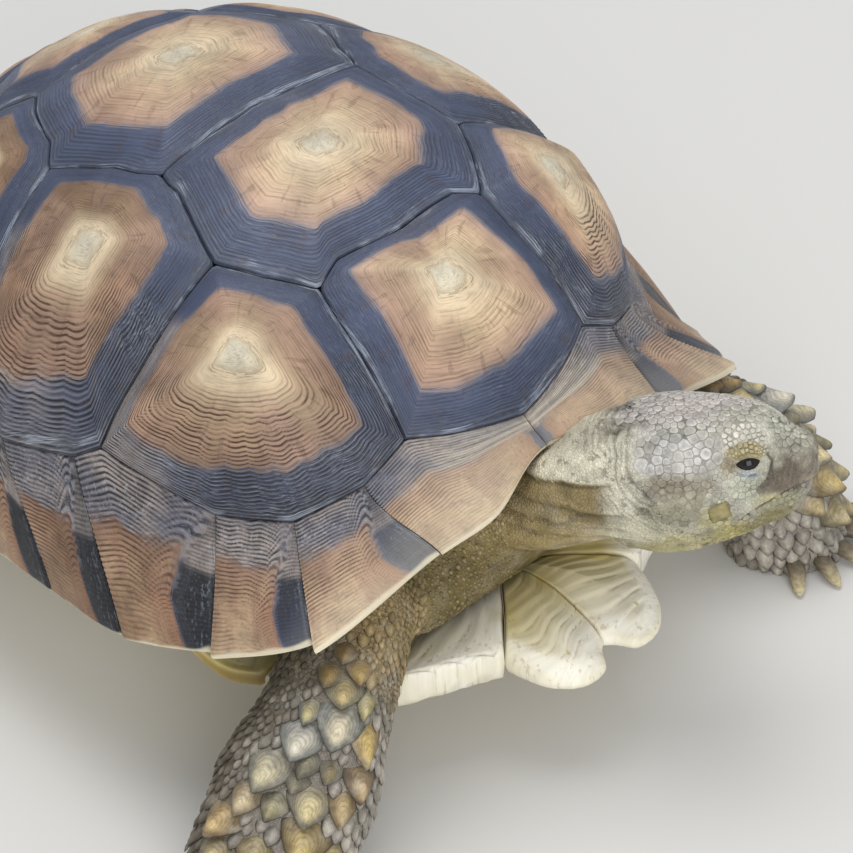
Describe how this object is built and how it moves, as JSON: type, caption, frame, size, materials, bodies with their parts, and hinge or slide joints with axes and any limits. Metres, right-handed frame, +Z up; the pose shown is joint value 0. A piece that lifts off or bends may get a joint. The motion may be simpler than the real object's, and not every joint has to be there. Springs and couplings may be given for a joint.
{
  "type": "sulcata tortoise",
  "caption": "Still life-size model of an African spurred tortoise standing on all fours, its neck out and its head turned to its left.",
  "frame": {"origin": "on the floor, under the middle of the whole animal's box", "axes": "+X to the animal's left, +Y towards its tail, +Z up; the head end is at -Y"},
  "size_m": [0.4328, 0.5386, 0.2521],
  "materials": {
    "carapace": "horny shell plates with growth rings, tan in the middle and slate grey at the seams",
    "plastron": "horny belly plates, ivory with worn growth ridges",
    "skin": "dry scaly skin, olive grey to tan, with heavy cream-tipped scales on the legs",
    "head": "dry skin with flat polygonal scales, pale grey",
    "eye": "wet and dark, almost black"
  },
  "bodies": {
    "root": {"vertebral_1": "carapace", "vertebral_2": "carapace", "vertebral_3": "carapace", "vertebral_4": "carapace", "vertebral_5": "carapace", "costal_left_1": "carapace", "costal_left_2": "carapace", "costal_left_3": "carapace", "costal_left_4": "carapace", "marginal_left_1": "carapace", "marginal_left_2": "carapace", "marginal_left_3": "carapace", "marginal_left_4": "carapace", "marginal_left_5": "carapace", "marginal_left_6": "carapace", "marginal_left_7": "carapace", "marginal_left_8": "carapace", "marginal_left_9": "carapace", "marginal_left_10": "carapace", "marginal_left_11": "carapace", "costal_right_1": "carapace", "costal_right_2": "carapace", "costal_right_3": "carapace", "costal_right_4": "carapace", "marginal_right_1": "carapace", "marginal_right_2": "carapace", "marginal_right_3": "carapace", "marginal_right_4": "carapace", "marginal_right_5": "carapace", "marginal_right_6": "carapace", "marginal_right_7": "carapace", "marginal_right_8": "carapace", "marginal_right_9": "carapace", "marginal_right_10": "carapace", "marginal_right_11": "carapace", "supracaudal": "carapace", "plastron_gular_left": "plastron", "plastron_gular_right": "plastron", "plastron_humeral_left": "plastron", "plastron_humeral_right": "plastron", "plastron_pectoral_left": "plastron", "plastron_pectoral_right": "plastron", "plastron_abdominal_left": "plastron", "plastron_abdominal_right": "plastron", "plastron_femoral_left": "plastron", "plastron_femoral_right": "plastron", "plastron_anal_left": "plastron", "plastron_anal_right": "plastron", "head": "head", "eye_left": "eye", "eye_right": "eye", "neck": "skin", "trunk": "skin", "tail": "skin", "foreleg_left": "skin", "foreleg_right": "skin", "hindleg_left": "skin", "hindleg_right": "skin"}
  },
  "joints": []
}
